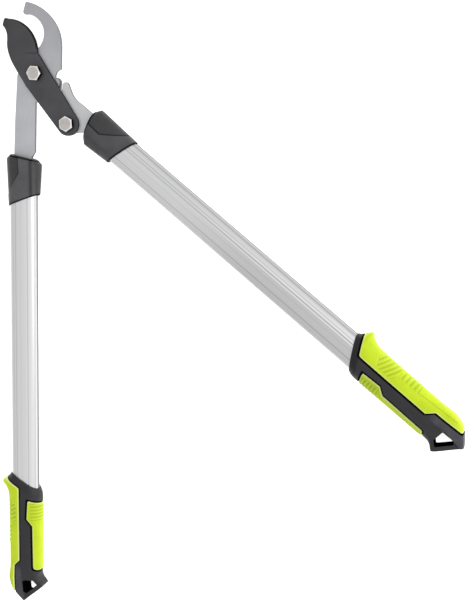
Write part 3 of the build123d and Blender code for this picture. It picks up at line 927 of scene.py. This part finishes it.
# Places where ribs and creases are nil and where they are full, in u, in v and along the slant.
SLANTED_START = (501.8, 502.6)
SLANTED_STOP = (536.2, 535.4)
SLANTED_STOP_U = (544.0, 543.0)
SLANTED_START_V = (6.4, 7.6)
SHORT_START = (535.6, 536.6)
SHORT_START_U = (544.4, 545.2)
SHORT_STOP_U = (575.0, 574.2)
SHORT_START_V = (14.2, 15.4)
INNER_START_U = (514.6, 515.6)
INNER_STOP_U = (539.0, 538.0)
INNER_START_V = (-12.4, -13.6)
FRAME_START = (500.5, 502.5)
FRAME_START_V = (6.0, 7.5)
FOLD_START_U = (573, 576)
FOLD_STOP_U = (634, 628)
CROWDING = np.array((0.0, 0.12, 0.35, 0.7, 1.1))
CROWDING_END = 1.6
OUTER_ROWS = (290, 0.006)           # count, and how closely the ends are crowded
OUTER_COLUMNS = (84, 0.016)
INNER_ROWS = (180, 0.010)
INNER_COLUMNS = (60, 0.022)


def edge_spacing(count, edge):
    """Numbers from 0 to 1, crowded at both ends."""
    inner = np.linspace(edge * CROWDING_END, 1 - edge * CROWDING_END, count)
    head = CROWDING * edge
    return np.concatenate((head, inner, 1 - head[::-1]))


def rounded_rise(inside):
    """Height of a pad's surface at a distance inside its outline."""
    t = np.clip(1 - inside / PAD_EDGE, 0, 1)
    return PAD_RISE - (PAD_RISE + PAD_SINK) * (1 - np.sqrt(1 - t * t))


def wave(x, start, spacing):
    """Row of rounded ribs with flat tops: 1 on a rib, -1 in the middle between two."""
    return np.clip(np.cos((x - start) * 2 * math.pi / spacing) * RIB_FLATNESS, -1, 1)


def rib_painted_shading(ribs):
    """Painted shade in the furrows; the ribs' tops get only a faint painted highlight."""
    return RIB_PAINTED_HIGHLIGHT * np.maximum(ribs, 0) + FURROW_PAINTED_SHADE * np.minimum(ribs, 0)


def outer_ribs(u, v):
    """Slanted ribs in a frame, short ribs behind them and a long crease; returns height and painted shading.
    """
    slant = u - RIB_SLANT * v
    corner = u + FRAME_SLANT * v - FRAME_PLACE
    first = smooth_step(-0.3, 0.9, corner) * smooth_step(*SLANTED_START_V, v)
    first *= smooth_step(*SLANTED_STOP_U, u)
    first *= smooth_step(*SLANTED_START, slant) * smooth_step(*SLANTED_STOP, slant)
    second = smooth_step(*SHORT_START_U, u) * smooth_step(*SHORT_STOP_U, u) * smooth_step(*SHORT_START_V, v)
    second *= smooth_step(*SHORT_START, slant)
    ribs = first * wave(slant, *SLANTED_RIBS) + second * wave(u - SHORT_LEAN * v, *SHORT_RIBS)
    frame_highlight = np.exp(-(((corner + 0.6) / 0.8) ** 2))
    frame_highlight = frame_highlight * smooth_step(*FRAME_START_V, v) * smooth_step(*FRAME_START, slant)
    fold = v - (FOLD[1] + FOLD[2] * (u - FOLD[0]))
    creased = smooth_step(*FOLD_START_U, u)
    painted_line = np.exp(-(((fold - 0.2) / 0.55) ** 2)) * creased * smooth_step(*FOLD_STOP_U, u)
    height = RIB_HEIGHT / 2 * ribs - FOLD_DROP * smooth_step(-0.15, 0.6, fold) * creased
    return height, rib_painted_shading(ribs) - FOLD_PAINTED_SHADE * painted_line + FRAME_PAINTED_HIGHLIGHT * frame_highlight


def inner_ribs(u, v):
    """Short straight ribs near the rim; returns height and painted shading."""
    where = smooth_step(*INNER_START_U, u) * smooth_step(*INNER_STOP_U, u) * smooth_step(*INNER_START_V, v)
    ribs = where * wave(u, *INNER_RIBS)
    return RIB_HEIGHT / 2 * ribs, rib_painted_shading(ribs)


def pad_mesh(name, side, shares, columns, place, ribs, depth_in):
    """Closed pad: a ribbed outer skin, rounded along its outline, and a plain inner one."""
    outer_rows = []
    inner_rows = []
    painted_shading = []
    for share in shares:
        u, angle, v = place(share, columns)
        inside = depth_in(u, v)
        height, painted_tint = ribs(u, v)
        clear = smooth_step(0.4, 1.6, inside)
        v_out, w_out = grip_section(u, angle, rounded_rise(inside) + height * clear)
        # painted highlight along the pad's rounded rim
        painted_rim_highlight = np.exp(-(((inside - 0.6) / 0.7) ** 2))
        painted_shading.append(NEUTRAL + painted_tint * clear + (1 - NEUTRAL) * painted_rim_highlight)
        v_in, w_in = grip_section(u, angle, PAD_ROOT)
        outer_rows.append(handle_points(side, u, v_out, w_out))
        inner_rows.append(handle_points(side, u, v_in, w_in))
    rows = len(outer_rows)
    count = len(columns)
    vertices = np.concatenate((np.concatenate(outer_rows), np.concatenate(inner_rows)))
    first = rows * count
    faces = grid_faces(rows, count) + grid_faces(rows, count, first)
    for i in range(rows - 1):
        for j in (0, count - 1):
            a = i * count + j
            faces.append((a, a + count, first + a + count, first + a))
    for j in range(count - 1):
        for i in (0, rows - 1):
            a = i * count + j
            faces.append((a, a + 1, first + a + 1, first + a))
    pad = new_object(name, vertices, faces)
    set_painted_shading(pad, np.concatenate(painted_shading * 2))
    return pad


def edge_angle(points, u):
    """Angle on the front of the section where an outline crosses it."""
    out = grip_out(u)
    inside = grip_in(u)
    share = (interpolated(points, u) - (out + inside) / 2) / ((out - inside) / 2)
    return np.arccos(power(np.clip(share, -1, 1), 1 / section_power(u)))


def pad_row(share, columns, top, end, angle_at, first_v):
    """u, angle and v along a row of a pad, at a share of the way between two sloping planes."""
    v = np.full_like(columns, first_v)
    for _ in range(PAD_ROUNDS):
        start = plane_at(top, v)
        u = start + share * (plane_at(end, v) - start)
        angle = angle_at(2 * columns - 1, u)
        v = grip_section(u, angle)[0]
    return u, angle, v


def outer_place(share, columns):
    """A row across the outer pad, from its back edge over the outside to its front edge."""
    return pad_row(
        share, columns, PAD_RIM, OUTER_PAD_END, lambda t, u: t * edge_angle(OUTER_EDGE, u), first_v=12.0,
    )


def inner_place(share, columns):
    """A row across the inner pad, from its front edge over the inside to its back edge."""
    return pad_row(
        share, columns, INNER_PAD_TOP, INNER_PAD_END,
        lambda t, u: math.pi + t * (math.pi - edge_angle(INNER_EDGE, u)), first_v=-18.0,
    )


def make_outer_pad(side):
    return pad_mesh(
        f"{side}_outer_pad_ribbed", side, edge_spacing(*OUTER_ROWS), edge_spacing(*OUTER_COLUMNS),
        outer_place, outer_ribs, outer_pad_depth,
    )


def make_inner_pad(side):
    return pad_mesh(
        f"{side}_inner_pad_ribbed", side, edge_spacing(*INNER_ROWS), edge_spacing(*INNER_COLUMNS),
        inner_place, inner_ribs, inner_pad_depth,
    )


for side in SIDES:
    finish_piece(make_tube(side), tube_finish[side], side, f"{side}_tube")
    finish_piece(make_collar(side), collar_plastic, side, f"{side}_collar")
    finish_piece(make_core(side), grip_plastic, side, f"{side}_grip_core")
    finish_piece(make_outer_pad(side), lime, side, f"{side}_outer_pad")
    finish_piece(make_inner_pad(side), inner_lime_painted_shade[side], side, f"{side}_inner_pad")


# ---- floor, light and camera -------------------------------------------------------------------------
FLOOR_HALF = 4.0
FLOOR_GLOW = 0.8                    # lifts the pale floor to white and keeps shadows faint
WORLD_GREYS = ((0.0, 0.55), (0.25, 0.68), (0.5, 0.74), (0.75, 0.86), (1.0, 0.95))    # from -X to +X
CAMERA_PLACE = Vector((647.64, -36.41, 1164.33))     # in the drawing, in millimetres
CAMERA_RIGHT = Vector((0.95327, 0.02432, -0.30113))
CAMERA_UP = Vector((-0.06881, 0.98804, -0.13802))
CAMERA_BACK = Vector((0.29417, 0.15229, 0.94354))
LENS_LENGTH = 60.92
SENSOR_WIDTH = 36.0


def make_floor():
    half = FLOOR_HALF
    corners = [(-half, -half, 0), (half, -half, 0), (half, half, 0), (-half, half, 0)]
    floor = new_object("floor", np.array(corners), [(0, 1, 2, 3)])
    skin, nodes, links, shader = material("floor_paint")
    shader.inputs["Base Color"].default_value = (0.95, 0.95, 0.95, 1)
    shader.inputs["Roughness"].default_value = 0.9
    shader.inputs["Specular IOR Level"].default_value = 0.1
    shader.inputs["Emission Color"].default_value = (1, 1, 1, 1)
    shader.inputs["Emission Strength"].default_value = FLOOR_GLOW
    floor.data.materials.append(skin)


def make_light(name, place, aim, size, energy):
    """Round area lamp that points at aim."""
    lamp = bpy.data.lights.new(name, "AREA")
    lamp.shape = "DISK"
    lamp.size = size
    lamp.energy = energy
    holder = bpy.data.objects.new(name, lamp)
    holder.location = place
    holder.rotation_euler = (Vector(aim) - Vector(place)).to_track_quat("-Z", "Y").to_euler()
    bpy.context.scene.collection.objects.link(holder)


def make_world():
    """Soft studio surround that brightens from -X to +X."""
    world = bpy.data.worlds.new("studio")
    bpy.context.scene.world = world
    world.use_nodes = True
    nodes = world.node_tree.nodes
    links = world.node_tree.links
    background = nodes["Background"]
    where = nodes.new("ShaderNodeTexCoord")
    parts = nodes.new("ShaderNodeSeparateXYZ")
    links.new(where.outputs["Generated"], parts.inputs["Vector"])
    tone = nodes.new("ShaderNodeMapRange")
    links.new(parts.outputs["X"], tone.inputs["Value"])
    tone.inputs["From Min"].default_value = -1.0
    tone.inputs["From Max"].default_value = 1.0
    stops = [(place, grey(level)) for place, level in WORLD_GREYS]
    shade = ramp(nodes, links, tone.outputs["Result"], stops)
    links.new(shade, background.inputs["Color"])
    background.inputs["Strength"].default_value = 1.0


def make_camera():
    place = drawing_origin + CAMERA_PLACE * MM
    lens = bpy.data.cameras.new("camera")
    lens.sensor_width = SENSOR_WIDTH
    lens.lens = LENS_LENGTH
    lens.clip_end = 20.0
    camera = bpy.data.objects.new("camera", lens)
    turn = Matrix((CAMERA_RIGHT, CAMERA_UP, CAMERA_BACK)).transposed().to_4x4()
    camera.matrix_world = Matrix.Translation(place) @ turn
    bpy.context.scene.collection.objects.link(camera)
    bpy.context.scene.camera = camera


make_floor()
make_world()
make_light("key", place=(1.55, 0.3, 1.5), aim=(0.0, 0.0, 0.0), size=1.5, energy=7.5)
make_camera()
bpy.context.scene.view_settings.view_transform = "Standard"
